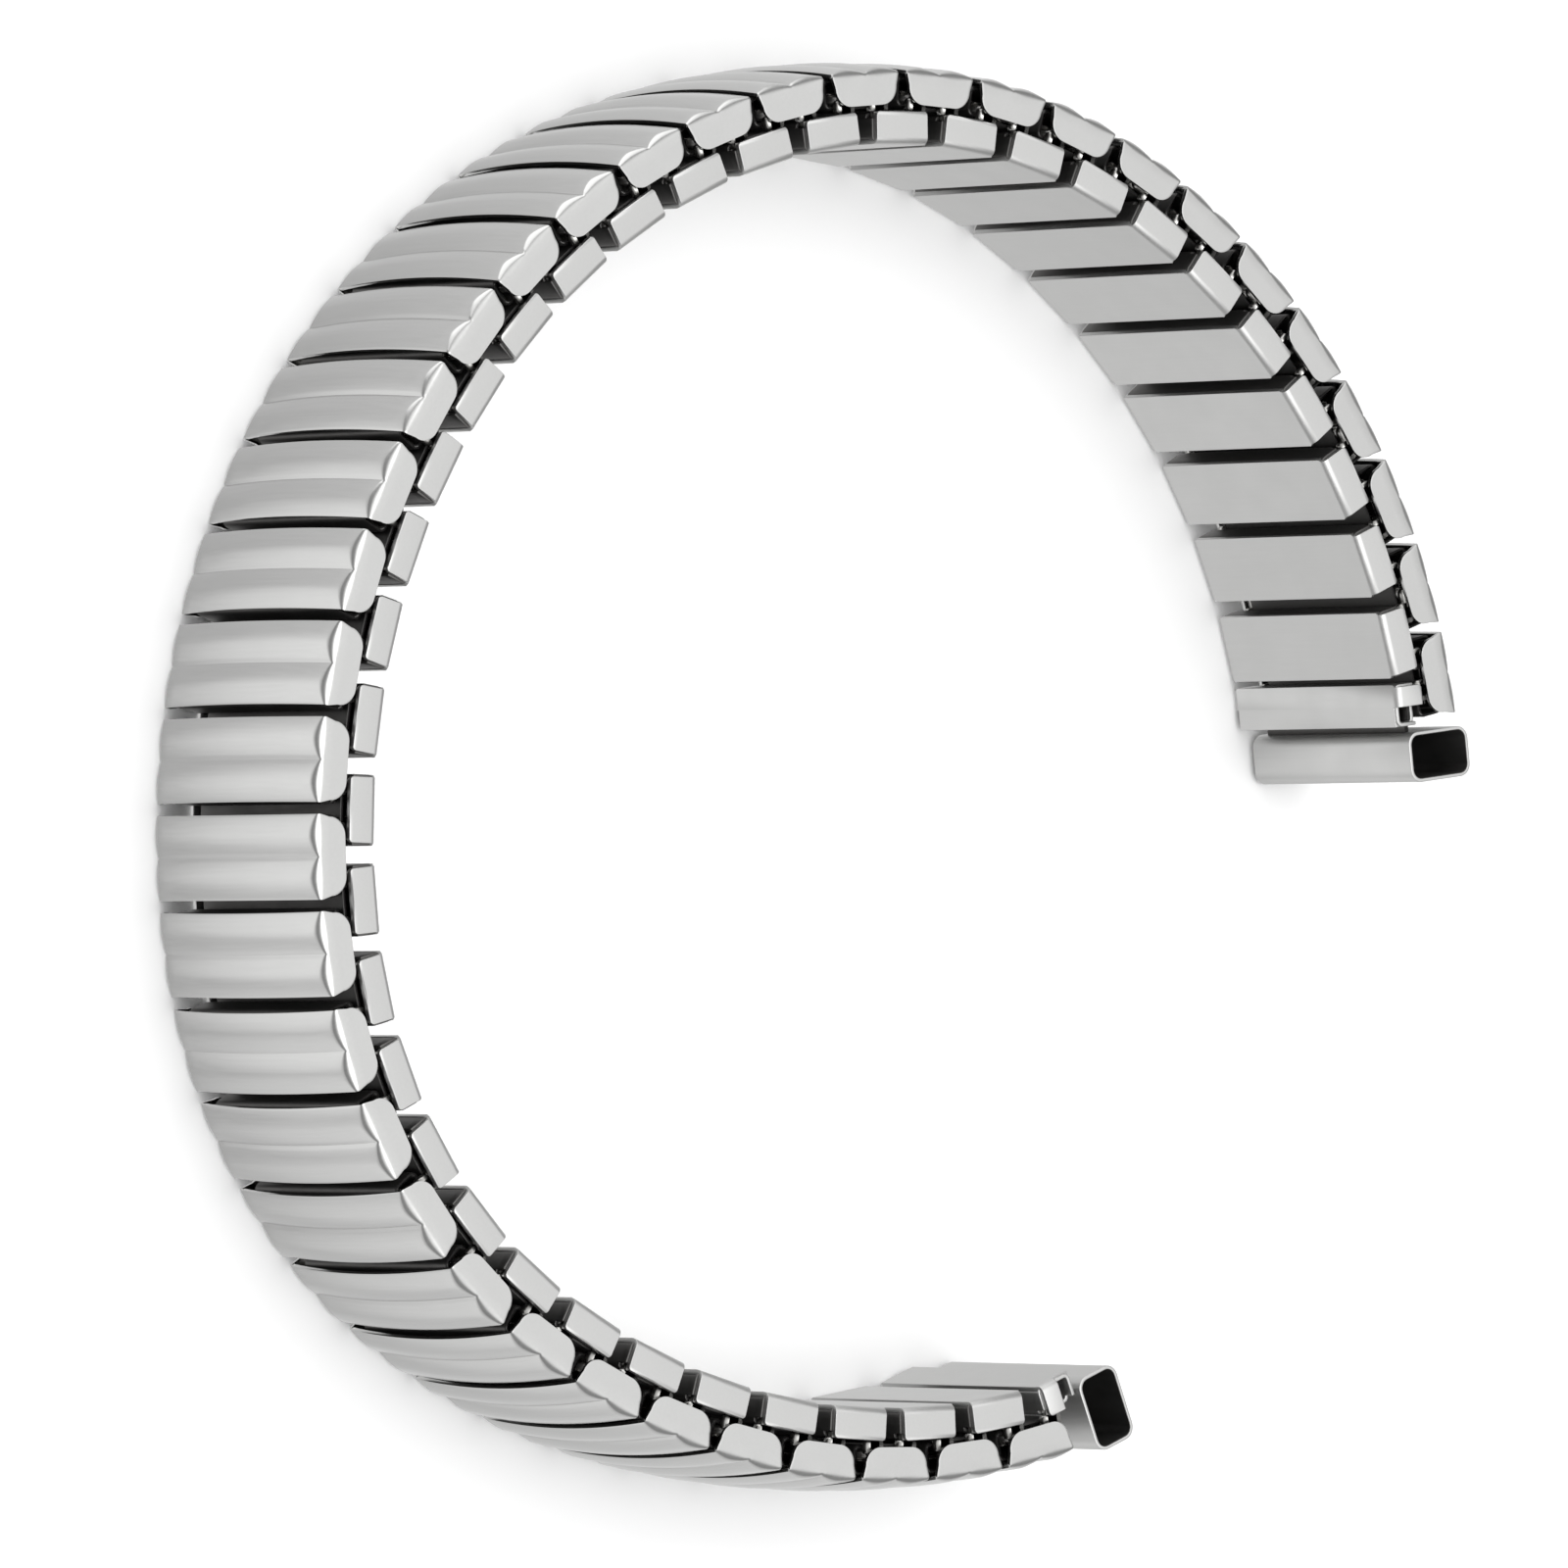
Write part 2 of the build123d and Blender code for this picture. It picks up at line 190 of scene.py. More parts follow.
class EndTubeSizes(bpy.types.PropertyGroup):
    """The tongue and tube that take the spring bar."""

    gap: length("Gap", "From the half link's face to the tube", 0.28)
    along: length("Along", "Tube's size along the band", 1.95)
    depth: length("Depth", "Tube's size through the band", 3.0)
    drop: length("Drop", "How far the tube reaches past the tongue, towards the wrist", 0.35)
    wall: length("Wall", "Thickness of the tube's sheet", 0.15)
    corner: length("Corner", "Outside radius of the tube's corners", 0.50)
    rim: length("Rim", "Rounding of the tube's cut edges", 0.03)
    inset: length("Inset", "From the band's edge to the tube's end", 0.30)
    tongue_inset: length("Tongue inset", "From the sleeve's end to the tongue's side", 0.20)
    tongue_grip: length("Tongue grip", "How far the tongue reaches into the link", 0.85)
    tongue_sheet: length("Tongue sheet", "Thickness of the tongue", 0.18)
    tongue_chamfer: length("Tongue chamfer", "Chamfer of the tongue's end edges", 0.0225)


class Finishes(bpy.types.PropertyGroup):
    """Colours of the steel parts."""

    cover: colour("Cover", "Polished cover steel", "BEBEBD")
    inner: colour("Inner link", "Satin steel of the inner row", "C4C4C3")
    # painted shade: a dark steel that stands for the shade in and between the sleeves
    painted_shade: colour("Inside", "Dull steel inside the sleeves", "626160")
    spring: colour("Spring", "Bright spring steel", "C4C3C0")


class StageSettings(bpy.types.PropertyGroup):
    """Camera, floor and lights. The band lies on its edge, so the camera is rolled."""

    azimuth: direction("Azimuth", "Camera's direction round the band", 214.87)
    elevation: direction("Elevation", "Camera's height over the floor", 51.65)
    roll: direction("Roll", "Turn of the camera about its own axis", 89.06)
    distance: length("Distance", "From the camera to the band", 681.1)
    lens: plain_value("Lens", "Focal length in millimetres", 413.66)
    aim: FloatVectorProperty(name="Aim", description="Point that the camera looks at",
                             default=(-0.00072, -0.00052, 0.00505), subtype="XYZ",
                             unit="LENGTH", precision=5)
    floor: colour("Floor", "Pale floor", "F4F4F4")
    floor_reach: length("Floor reach", "From the floor's middle to its sides", 1500)
    tent: plain_value("Light tent", "Brightness of the white tent round the band", 1.5)


GROUPS = {
    "band_rows": BandRows, "band_cover": CoverSizes, "band_inner": InnerLinkSizes,
    "band_fittings": FittingSizes, "band_ends": EndTubeSizes, "band_finish": Finishes,
    "band_stage": StageSettings,
}


def sizes(key):
    return getattr(bpy.context.scene, key)


def depth(value):
    """A depth as the Y of a link's own frame."""
    return value - sizes("band_rows").pivot_depth


def moved(place, x=0.0, y=0.0, angle=0.0):
    """A place moved along its own axes and then turned about Z."""
    return place @ Matrix.Translation((x, y, 0)) @ Matrix.Rotation(angle, 4, "Z")


def anchor(name):
    """Where a joint stands, at the height of the floor."""
    x, y, z = JOINTS[name]["pos_m"]
    return Vector((x, y, 0))


def rest_bend(name):
    """A hinge's bend at rest. Its range ends a hair past straight, which is rounded off."""
    return math.radians(round(-JOINTS[name]["range_deg"][0], 2))


def chain():
    """Places of the outer and the inner links, by number, and of both end hinges."""
    before, after = anchor(f"curl_{MIDDLE_LINK - 1:02d}"), anchor(f"curl_{MIDDLE_LINK:02d}")
    along = after - before
    leg_reach = along.length / 2
    hinge_reach = sizes("band_rows").hinge_reach
    start = Matrix.Translation((before + after) / 2)
    start = start @ Matrix.Rotation(math.atan2(along.y, along.x), 4, "Z")
    outer, inner = {MIDDLE_LINK: start}, {}
    for way in (1, -1):
        number = MIDDLE_LINK
        while 0 < number + way <= LINK_COUNT:
            between = min(number, number + way)
            half = way * rest_bend(f"curl_{between:02d}") / 2
            hinge = moved(outer[number], x=way * leg_reach, angle=half)
            inner[between] = moved(hinge, x=way * hinge_reach)
            hinge = moved(inner[between], x=way * hinge_reach, angle=half)
            number += way
            outer[number] = moved(hinge, x=way * leg_reach)
    ends = []
    for name, number, way in (("curl_first", 1, -1), ("curl_last", LINK_COUNT, 1)):
        turn = outer[number].to_3x3().to_4x4()
        hinge = Matrix.Translation(anchor(name)) @ turn
        ends.append(moved(hinge, angle=way * rest_bend(name)))
    return Chain(outer, inner, *ends)


def body_of(number, row):
    """The body that carries a link: an even inner link goes with its outer link."""
    return f"{row}_link_{number:02d}" if number % 2 else f"link_pair_{number:02d}"


def whole(bm):
    """All that a bmesh is made of."""
    return bm.verts[:] + bm.edges[:] + bm.faces[:]


def cut_away(bm, unwanted):
    """Deletes the faces whose middle passes a test."""
    faces = [face for face in bm.faces if unwanted(face.calc_center_median())]
    bmesh.ops.delete(bm, geom=faces, context="FACES")


def level_station(half_length, distance, down):
    """A station of a pressed sheet that lies at one depth along the band."""
    return half_length, lambda x: (distance, depth(down))


def pressed_sheet(columns, stations, outward):
    """A grid pressed over stations that run from the middle of the face to an ear's end.

    A station is (half length, spot), where spot(x) gives the distance from the band's middle
    and the height. The sheet is the same on both sides of the middle, and its outside faces
    outward, a sign along Y.
    """
    rows = 2 * (len(stations) - 1)
    bm = bmesh.new()
    bmesh.ops.create_grid(bm, x_segments=columns, y_segments=rows, size=1)
    for vert in bm.verts:
        across = round(vert.co.y * rows / 2)
        half_length, spot = stations[abs(across)]
        x = vert.co.x * half_length
        distance, height = spot(x)
        vert.co = (x, height, BAND_WIDTH / 2 + math.copysign(distance, across))
    bm.normal_update()
    flattest = max(bm.faces, key=lambda face: abs(face.normal.y))
    if flattest.normal.y * outward < 0:
        bmesh.ops.reverse_faces(bm, faces=bm.faces)
    return bm


def rounded_outline(x0, x1, y0, y1, corner, steps=3):
    """A flat face in the XY plane whose corners are rounded in a few steps."""
    bm = bmesh.new()
    corners = [bm.verts.new((x, y, 0)) for x, y in ((x0, y0), (x1, y0), (x1, y1), (x0, y1))]
    bm.faces.new(corners)
    bmesh.ops.bevel(bm, geom=corners, offset=corner, segments=steps, profile=0.5,
                    affect="VERTICES", material=-1)
    return bm


def drawn_out(bm, z0, z1, open_ends=False):
    """A flat outline drawn along Z from z0 to z1, as a solid or as a bare shell."""
    bmesh.ops.translate(bm, verts=bm.verts, vec=(0, 0, z0))
    base = bm.faces[:]
    made = bmesh.ops.extrude_face_region(bm, geom=base, use_keep_orig=True)["geom"]
    top = [item for item in made if isinstance(item, bmesh.types.BMVert)]
    bmesh.ops.translate(bm, verts=top, vec=(0, 0, z1 - z0))
    if open_ends:
        caps = [face for face in bm.faces if abs(face.normal.z) > 0.5]
        bmesh.ops.delete(bm, geom=caps, context="FACES_ONLY")
    bmesh.ops.recalc_face_normals(bm, faces=bm.faces)
    return bm


def bar_between(start, end, width, z0, z1):
    """A flat bar with round ends that joins two points of the XY plane."""
    across, radius = end - start, width / 2
    bm = rounded_outline(-radius, across.length + radius, -radius, radius, radius * ROUND_END)
    turn = Matrix.Rotation(math.atan2(across.y, across.x), 4, "Z")
    bmesh.ops.transform(bm, matrix=Matrix.Translation(start) @ turn, verts=bm.verts)
    return drawn_out(bm, z0, z1)


def mesh_of(bm, name="pattern"):
    """A bmesh as a mesh. The bmesh is freed."""
    mesh = bpy.data.meshes.new(name)
    bm.to_mesh(mesh)
    bm.free()
    return mesh


def add_object(name, data):
    """A new object in the scene."""
    item = bpy.data.objects.new(name, data)
    bpy.context.scene.collection.objects.link(item)
    return item


def finished(bm, sheet=0.0, rim=0.0):
    """A mesh from a bmesh, given its sheet's thickness inwards and its rounded edges."""
    mesh = mesh_of(bm)
    pattern = add_object("pattern", mesh)
    if sheet:
        wall = pattern.modifiers.new("Sheet", "SOLIDIFY")
        wall.thickness = sheet
        wall.offset = -1
        wall.use_even_offset = True
    if rim:
        edge = pattern.modifiers.new("Rim", "BEVEL")
        edge.width = rim
        edge.segments = RIM_STEPS
        edge.limit_method = "ANGLE"
        edge.angle_limit = SHARP_EDGE
    pattern.modifiers.new("Normals", "WEIGHTED_NORMAL").keep_sharp = True
    mesh.shade_smooth()
    solved = pattern.evaluated_get(bpy.context.evaluated_depsgraph_get())
    result = bpy.data.meshes.new_from_object(solved)
    bpy.data.objects.remove(pattern)
    bpy.data.meshes.remove(mesh)
    return result


def joined(*meshes):
    """One mesh of several, which are removed."""
    bm = bmesh.new()
    for mesh in meshes:
        bm.from_mesh(mesh)
        bpy.data.meshes.remove(mesh)
    result = mesh_of(bm)
    result.shade_smooth()
    return result


def place_piece(name, pattern, place, body, finish):
    """Puts a copy of a pattern at a place, on its body."""
    mesh = pattern.copy()
    mesh.name = name
    mesh.transform(place)
    if place.determinant() < 0:
        mesh.flip_normals()
    mesh.materials.append(finish_named(finish))
    piece = add_object(name, mesh)
    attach(piece, body)
    return piece


def place_row(row, name, pattern, finish, replaces=False):
    """Puts a copy of a pattern at every link of a row, which may replace the link's node."""
    for number, place in getattr(chain(), row).items():
        body = body_of(number, row)
        piece = place_piece(f"{name}_{number:02d}", pattern, place, body, finish)
        if replaces:
            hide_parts(body)


def add_node(tree, kind, inputs=None, **settings):
    """A node with its settings, whose inputs take values or other nodes' sockets."""
    node = tree.nodes.new(kind)
    for key, value in settings.items():
        setattr(node, key, value)
    for key, value in (inputs or {}).items():
        if isinstance(value, bpy.types.NodeSocket):
            tree.links.new(value, node.inputs[key])
        else:
            node.inputs[key].default_value = value
    return node


def steel(name, base, rough, grain_mm, streak, bump):
    """Stainless sheet. The grain runs across the band's width, as rolled strip's does.

    Real roll lines are too fine to show. They are drawn grain_mm wide, streak times as long.
    """
    finish = bpy.data.materials.new(name)
    finish.use_nodes = True
    tree = finish.node_tree
    tree.nodes.clear()
    spot = add_node(tree, "ShaderNodeTexCoord").outputs["Object"]
    across = 1 / (grain_mm * MM)
    fine = add_node(tree, "ShaderNodeMapping",
                    {"Vector": spot, "Scale": (across, across, across / streak)})
    grain = add_node(tree, "ShaderNodeTexNoise",
                     {"Vector": fine.outputs[0], "Scale": 1.0, "Detail": 3.0})
    cloud = add_node(tree, "ShaderNodeTexNoise", {"Vector": spot, "Scale": 1 / CLOUD_SIZE})
    mixed = add_node(tree, "ShaderNodeMath",
                     {0: grain.outputs["Fac"], 1: cloud.outputs["Fac"]}, operation="ADD")
    shine = add_node(tree, "ShaderNodeMapRange",
                     {"Value": mixed.outputs[0], "From Min": NOISE_SUM[0],
                      "From Max": NOISE_SUM[1], "To Min": rough[0], "To Max": rough[1]})
    shade = [channel * GRAIN_SHADE for channel in base]
    tint = add_node(tree, "ShaderNodeMix",
                    {"Factor": grain.outputs["Fac"], "A": (*shade, 1), "B": (*base, 1)},
                    data_type="RGBA")
    relief = add_node(tree, "ShaderNodeBump",
                      {"Height": grain.outputs["Fac"], "Strength": bump,
                       "Distance": GRAIN_HEIGHT})
    shader = add_node(tree, "ShaderNodeBsdfPrincipled",
                      {"Base Color": tint.outputs["Result"], "Metallic": 1.0,
                       "Roughness": shine.outputs[0], "Normal": relief.outputs[0]})
    add_node(tree, "ShaderNodeOutputMaterial", {"Surface": shader.outputs[0]})
    return finish


def finish_named(name):
    """A steel by name, made the first time that it is asked for."""
    known = bpy.data.materials.get(name)
    if known:
        return known
    look = sizes("band_finish")
    kinds = {
        # cold-rolled 304 strip with a bright finish: soft reflections, faint roll lines
        "bright_rolled_steel": (look.cover, (0.19, 0.27), 0.12, 40, 0.15),
        # the same strip, tumbled: even, greyer, with a broader highlight
        "satin_rolled_steel": (look.inner, (0.40, 0.50), 0.10, 25, 0.2),
        # unpolished steel darkened as painted shade, for the sleeves, the tongue and the inside
        # of the tubes
        "shade_painted_steel": (look.painted_shade, (0.45, 0.6), 0.15, 10, 0.3),
        # tempered spring strip, brighter than what is round it
        "spring_steel": (look.spring, (0.25, 0.35), 0.08, 30, 0.2),
    }
    return steel(name, *kinds[name])


class BuildOperator:
    """What all the operators share."""

    bl_options = {"REGISTER", "UNDO"}


class InnerSheets:
    """The face and the sleeve of a link of the inner row, which the half links share."""

    columns = 2
    fold_steps = 4
    corner_steps = 3

    def face(self, half):
        """The wrist face and its two ears, which are narrower than the face."""
        link, face = sizes("band_inner"), sizes("band_rows").band_depth
        edge = BAND_WIDTH / 2 - link.inset
        turn = edge - link.fold_radius
        top, ear_half = face - link.ear_depth, half - link.ear_side
        stations = [level_station(half, 0, face), level_station(half, turn, face)]
        for i in range(1, self.fold_steps + 1):
            angle = QUARTER_TURN * i / self.fold_steps
            stations.append(level_station(ear_half, turn + link.fold_radius * math.sin(angle),
                                          face - link.fold_radius * (1 - math.cos(angle))))
        for i in range(self.corner_steps + 1):
            angle = QUARTER_TURN * i / self.corner_steps
            narrow = ear_half - link.ear_corner * (1 - math.cos(angle))
            stations.append(level_station(narrow, edge,
                                          top + link.ear_corner * (1 - math.sin(angle))))
        return pressed_sheet(self.columns, stations, 1)

    def sleeve(self, x0, x1):
        """The sleeve behind a face: its side walls run to the ears, its top stops short."""
        rows, link = sizes("band_rows"), sizes("band_inner")
        low, start = link.inset + link.sheet, rows.sleeve_start
        outline = rounded_outline(x0, x1, depth(rows.inner_top),
                                  depth(rows.band_depth - link.sleeve_back), rows.sleeve_corner)
        shell = drawn_out(outline, low, BAND_WIDTH - low, True)
        for z in (start, BAND_WIDTH - start):
            bmesh.ops.bisect_plane(shell, geom=whole(shell), plane_co=(0, 0, z),
                                   plane_no=(0, 0, 1))
        wall_start = depth(rows.inner_top) + rows.sleeve_corner
        cut_away(shell, lambda middle: middle.y < wall_start
                 and abs(middle.z - BAND_WIDTH / 2) > BAND_WIDTH / 2 - start)
        return finished(shell, rows.wall, link.rim)


class BAND_OT_covers(BuildOperator, bpy.types.Operator):
    """Press the fluted cover of every outer link"""

    bl_idname = "band.covers"
    bl_label = "Covers"
    columns = 32
    face_steps = 10
    fold_steps = 7
    ear_steps = 8

    def flute(self, x, cover):
        """Height share of the two flutes, from nothing in a valley to one at a crest.

        The sheet's middle column dips a little lower, as the crease between the flutes.
        """
        half = cover.length / 2
        share = 1 - abs(2 * abs(x) / half - 1) ** cover.flute_power
        if abs(x) < half / self.columns:
            share -= cover.crease
        return share

    def stations(self, cover):
        """The face domes over the width, and folds round wider at a crest than in a valley."""
        half, edge = cover.length / 2, BAND_WIDTH / 2
        start = 2 * math.atan(cover.crown_rise / edge)
        turn = edge - cover.fold_radius
        crown_radius = turn / math.sin(start) + cover.fold_radius
        level = cover.fold_radius * (1 - math.cos(start)) + crown_radius * math.cos(start)

        def fold(x):
            share = max(self.flute(x, cover), 0)
            return cover.fold_radius + (cover.crest_fold - cover.fold_radius) * share

        def face(x, distance):
            dome = math.sqrt(crown_radius ** 2 - distance ** 2)
            return level - dome - cover.flute_rise * self.flute(x, cover)

        def on_face(share, x):
            distance = share * (edge - fold(x) * (1 - math.sin(start)))
            return distance, depth(face(x, distance))

        def on_fold(angle, x):
            radius = fold(x)
            first = edge - radius * (1 - math.sin(start))
            top = face(x, first) - radius * (1 - math.cos(start))
            return (edge - radius * (1 - math.sin(angle)),
                    depth(top + radius * (1 - math.cos(angle))))

        listed = [(half, partial(on_face, i / self.face_steps)) for i in range(self.face_steps)]
        for i in range(self.fold_steps + 1):
            angle = start + (QUARTER_TURN - start) * i / self.fold_steps
            listed.append((half, partial(on_fold, angle)))
        corner_start = cover.ear_depth - cover.ear_corner
        for i in range(self.ear_steps + 1):
            angle = QUARTER_TURN * i / self.ear_steps
            narrow = half - cover.ear_taper - cover.ear_corner * (1 - math.cos(angle))
            listed.append(level_station(narrow, edge,
                                        corner_start + cover.ear_corner * math.sin(angle)))
        return listed

    def execute(self, context):
        cover = sizes("band_cover")
        sheet = pressed_sheet(self.columns, self.stations(cover), -1)
        place_row("outer", "cover", finished(sheet, cover.sheet, cover.rim),
                  "bright_rolled_steel", replaces=True)
        return {"FINISHED"}


class BAND_OT_outer_sleeves(BuildOperator, bpy.types.Operator):
    """Fold the flat sleeve under every cover"""

    bl_idname = "band.outer_sleeves"
    bl_label = "Outer sleeves"

    def execute(self, context):
        rows, cover = sizes("band_rows"), sizes("band_cover")
        half = cover.length / 2 - cover.sleeve_inset
        outline = rounded_outline(-half, half, depth(rows.outer_top), depth(rows.outer_bottom),
                                  rows.sleeve_corner)
        shell = drawn_out(outline, rows.sleeve_start, BAND_WIDTH - rows.sleeve_start, True)
        # the sleeves take the dark steel as painted shade, under the covers and in the gaps
        # between them
        place_row("outer", "outer_sleeve", finished(shell, rows.wall),
                  "shade_painted_steel")
        return {"FINISHED"}


class BAND_OT_inner_links(BuildOperator, InnerSheets, bpy.types.Operator):
    """Press the plain inner links with their ears and sleeves"""

    bl_idname = "band.inner_links"
    bl_label = "Inner links"

    def execute(self, context):
        link = sizes("band_inner")
        half = link.length / 2
        place_row("inner", "inner_face", finished(self.face(half), link.sheet, link.rim),
                  "satin_rolled_steel", replaces=True)
        # the sleeves take the dark steel as painted shade behind the faces
        place_row("inner", "inner_sleeve", self.sleeve(-half, half),
                  "shade_painted_steel")
        return {"FINISHED"}


class BAND_OT_springs(BuildOperator, bpy.types.Operator):
    """Lay a bowed leaf spring in every sleeve"""

    bl_idname = "band.springs"
    bl_label = "Leaf springs"
    steps = 12

    def pattern(self, half_width, pad, back):
        """A strip whose ends press on the legs at pad and whose bow touches back."""
        rows, fitting = sizes("band_rows"), sizes("band_fittings")
        reach = BAND_WIDTH / 2 - rows.sleeve_start - fitting.spring_inset
        lean = reach - fitting.spring_pad
        way = math.copysign(1, pad - back)
        bow = back + way * fitting.spring_sheet
        strip = []
        for distance in [lean * i / self.steps for i in range(self.steps + 1)] + [reach]:
            share = min(distance / lean, 1)
            strip.append(level_station(half_width, distance, bow + (pad - bow) * share ** 2))
        return finished(pressed_sheet(1, strip, way), fitting.spring_sheet)

    def execute(self, context):
        rows, fitting = sizes("band_rows"), sizes("band_fittings")
        cover, link = sizes("band_cover"), sizes("band_inner")
        side = rows.wall + fitting.spring_side
        outer_spring = self.pattern(cover.length / 2 - cover.sleeve_inset - side,
                                    rows.outer_leg_depth - fitting.leg / 2,
                                    rows.outer_top + rows.wall)
        inner_spring = self.pattern(link.length / 2 - side, rows.pivot_depth + fitting.leg / 2,
                                    rows.band_depth - link.sheet)
        for row, pattern in (("outer", outer_spring), ("inner", inner_spring)):
            place_row(row, f"{row}_spring", pattern, "spring_steel")
        return {"FINISHED"}


class BAND_OT_staples(BuildOperator, bpy.types.Operator):
    """Bridge every overlap with a staple at each edge"""

    bl_idname = "band.staples"
    bl_label = "Staples"
    leg_sides = 8
    web_corner_steps = 2

    def pattern(self, reach, outer_leg):
        """Both staples of an overlap: a web upright over the inner leg, an arm and two legs."""
        rows, fitting = sizes("band_rows"), sizes("band_fittings")
        start, web_end = fitting.web_start, fitting.web_start + fitting.web_sheet
        top, half = depth(rows.outer_leg_depth), fitting.web_width / 2
        web = rounded_outline(reach - half, reach + half, top, depth(rows.inner_top),
                              fitting.web_corner, self.web_corner_steps)
        drawn_out(web, start, web_end)
        inner_leg, elbow = Vector((reach, 0, 0)), Vector((reach, top, 0))
        bars = [bar_between(inner_leg, elbow, fitting.leg, start, web_end)]
        if outer_leg != elbow:
            bars.append(bar_between(elbow, outer_leg, fitting.leg, start, web_end))
        leg_end = rows.sleeve_start + fitting.leg_length
        for leg in (inner_leg, outer_leg):
            middle = Matrix.Translation((leg.x, leg.y, (web_end + leg_end) / 2))
            bmesh.ops.create_cone(web, segments=self.leg_sides, cap_ends=True,
                                  radius1=fitting.leg / 2, radius2=fitting.leg / 2,
                                  depth=leg_end - web_end, matrix=middle)
        near = joined(finished(web), *[finished(bar) for bar in bars])
        both = bmesh.new()
        both.from_mesh(near)
        bmesh.ops.mirror(both, geom=whole(both), axis="Z", merge_dist=0,
                         matrix=Matrix.Translation((0, 0, -BAND_WIDTH / 2)))
        bmesh.ops.recalc_face_normals(both, faces=both.faces)
        bpy.data.meshes.remove(near)
        return finished(both)

    def hinge(self, links, number, side):
        """Where the inner link's legs stand in an overlap of an outer link."""
        after = number if side == "high" else number - 1
        if after == 0:
            return links.first
        if after == LINK_COUNT:
            return links.last
        if number % 2:
            return Matrix.Translation(anchor(f"curl_{after:02d}"))
        return moved(links.inner[after], x=-sizes("band_rows").hinge_reach)

    def execute(self, context):
        """Odd outer links hinge at both sides. Even ones are fixed at their high side, and
        slide on the legs of the inner link at their low side."""
        rows, fitting = sizes("band_rows"), sizes("band_fittings")
        leg_height = depth(rows.outer_leg_depth)
        links = chain()
        for number, place in links.outer.items():
            for side in ("low", "high") if number % 2 else ("high",):
                reach = (place.inverted() @ self.hinge(links, number, side)).translation.x
                place_piece(f"staples_{number:02d}_{side}",
                            self.pattern(reach, Vector((reach, leg_height, 0))), place,
                            body_of(number, "outer"), "spring_steel")
            if number % 2 == 0:
                link = links.inner[number - 1]
                outer_leg = link.inverted() @ (place @ Vector((-fitting.slide, leg_height, 0)))
                place_piece(f"slide_staples_{number - 1:02d}",
                            self.pattern(rows.hinge_reach, outer_leg), link,
                            body_of(number - 1, "inner"), "spring_steel")
        return {"FINISHED"}


class BAND_OT_end_pieces(BuildOperator, InnerSheets, bpy.types.Operator):
    """Make the half link and the spring bar tube at both ends"""

    bl_idname = "band.end_pieces"
    bl_label = "End pieces"
    tube_corner_steps = 6

    def half_link(self, edge):
        """The half link from edge outwards. Its ear is shorter than its face."""
        link = sizes("band_inner")
        half, ear_end = link.end_face / 2, edge + link.end_ear
        face = self.face(half)
        bmesh.ops.translate(face, verts=face.verts, vec=(edge + half, 0, 0))
        bmesh.ops.bisect_plane(face, geom=whole(face), plane_co=(ear_end, 0, 0),
                               plane_no=(1, 0, 0))
        turn = BAND_WIDTH / 2 - link.inset - link.fold_radius
        cut_away(face, lambda middle: middle.x > ear_end
                 and abs(middle.z - BAND_WIDTH / 2) > turn)
        return joined(finished(face, link.sheet, link.rim),
                      self.sleeve(edge, edge + link.end_face))

    def tube(self, face_end):
        """The rolled tube, whose inside takes a second, painted-shade material, and the tongue
        that holds it.
        """
        ends, rows = sizes("band_ends"), sizes("band_rows")
        start = face_end + ends.gap
        top = depth(rows.inner_top + rows.wall)
        bottom = top + ends.tongue_sheet + ends.drop
        outline = rounded_outline(start, start + ends.along, bottom - ends.depth, bottom,
                                  ends.corner, self.tube_corner_steps)
        shell = drawn_out(outline, ends.inset, BAND_WIDTH - ends.inset, True)
        roll = finished(shell, ends.wall, ends.rim)
        axis = Vector((start + ends.along / 2, bottom - ends.depth / 2))
        # faces that look into the tube take the second material: painted shade inside the tube
        for face in roll.polygons:
            looks_in = face.normal.to_2d().dot(axis - face.center.to_2d()) > 0
            face.material_index = int(looks_in)
        side = rows.sleeve_start + ends.tongue_inset
        tongue = rounded_outline(face_end - ends.tongue_grip, start + ends.wall, top,
                                 top + ends.tongue_sheet, ends.tongue_chamfer, 1)
        return roll, finished(drawn_out(tongue, side, BAND_WIDTH - side))

    def execute(self, context):
        fitting, links = sizes("band_fittings"), chain()
        edge = -(sizes("band_rows").wall + fitting.clearance + fitting.leg / 2)
        shell = self.half_link(edge)
        roll, tongue = self.tube(edge + sizes("band_inner").end_face)
        mirror = Matrix.Scale(-1, 4, (1, 0, 0))
        for end, place in (("first", links.first @ mirror), ("last", links.last)):
            body = f"end_piece_{end}"
            piece = place_piece(f"end_shell_{end}", shell, place, body,
                                "satin_rolled_steel")
            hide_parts(f"end_link_{end}")
            # the tongue is darkened with painted shade, for the shaded gap between the link and
            # the tube
            place_piece(f"tongue_{end}", tongue, place, body,
                        "shade_painted_steel")
            piece = place_piece(f"spring_bar_tube_{end}", roll, place, body,
                                "satin_rolled_steel")
            # the tube's second material is the painted shade of its inside
            piece.data.materials.append(finish_named("shade_painted_steel"))
            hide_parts(f"end_tube_{end}")
        return {"FINISHED"}


